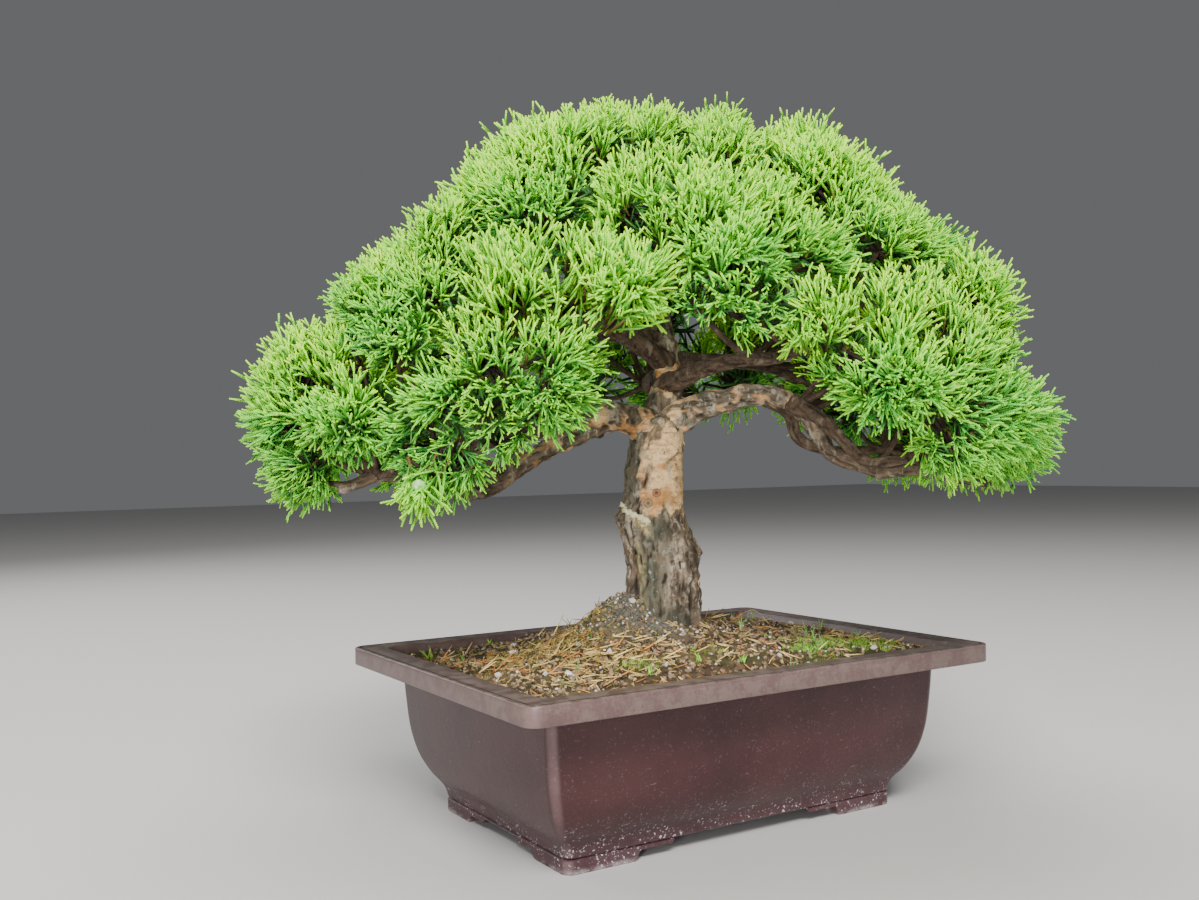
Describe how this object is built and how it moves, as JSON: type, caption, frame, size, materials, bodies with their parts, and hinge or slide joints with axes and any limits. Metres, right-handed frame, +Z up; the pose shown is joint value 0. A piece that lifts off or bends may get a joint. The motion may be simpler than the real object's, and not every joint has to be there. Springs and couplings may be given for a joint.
{
  "type": "itoigawa juniper bonsai",
  "caption": "Itoigawa juniper bonsai with a domed crown of cord foliage on a short stout trunk, rooted in soil in a rectangular lipped plastic pot on low corner feet.",
  "frame": {"origin": "middle of the bounding box at the height of the surface that the pot's feet stand on; the pot's centre lies about 10 mm in +X and 3 mm in +Y of it", "axes": "+Z up; +X along the pot's long side, which is also roughly the crown's long way; -Y is the pot's front long side, and the tree's own front is turned about 32 degrees from it towards -X"},
  "size_m": [0.4562, 0.4184, 0.4223],
  "materials": {
    "pot_plastic": "satin",
    "soil": "matte",
    "drain_mesh": "satin",
    "bark": "matte",
    "foliage": "satin",
    "cone": "matte"
  },
  "bodies": {
    "root": {"drain_screen_left": "drain_mesh", "drain_screen_right": "drain_mesh", "foliage_low_front_1": "foliage", "foliage_low_front_2": "foliage", "foliage_low_left_1": "foliage", "foliage_low_left_2": "foliage", "foliage_low_left_3": "foliage", "foliage_low_left_4": "foliage", "foliage_low_right_1": "foliage", "foliage_low_right_2": "foliage", "foliage_low_right_3": "foliage", "foliage_low_right_4": "foliage", "foliage_middle_back_1": "foliage", "foliage_middle_back_2": "foliage", "foliage_middle_back_3": "foliage", "foliage_middle_back_4": "foliage", "foliage_middle_back_5": "foliage", "foliage_middle_back_6": "foliage", "foliage_middle_front_1": "foliage", "foliage_middle_front_2": "foliage", "foliage_middle_front_3": "foliage", "foliage_middle_front_4": "foliage", "foliage_middle_front_5": "foliage", "foliage_middle_front_6": "foliage", "foliage_middle_front_7": "foliage", "foliage_middle_left_1": "foliage", "foliage_middle_left_2": "foliage", "foliage_middle_left_3": "foliage", "foliage_middle_left_4": "foliage", "foliage_middle_left_5": "foliage", "foliage_middle_left_6": "foliage", "foliage_middle_right_1": "foliage", "foliage_middle_right_2": "foliage", "foliage_middle_right_3": "foliage", "foliage_middle_right_4": "foliage", "foliage_top_back_1": "foliage", "foliage_top_back_2": "foliage", "foliage_top_back_3": "foliage", "foliage_top_back_4": "foliage", "foliage_top_front_1": "foliage", "foliage_top_front_2": "foliage", "foliage_top_left_1": "foliage", "foliage_top_left_2": "foliage", "foliage_top_left_3": "foliage", "foliage_top_left_4": "foliage", "foliage_top_left_5": "foliage", "foliage_top_right_1": "foliage", "foliage_top_right_2": "foliage", "foliage_top_right_3": "foliage", "foliage_top_right_4": "foliage", "juniper_cone": "cone", "pot": "pot_plastic", "soil": "soil", "trunk_and_branches": "bark"}
  },
  "joints": []
}
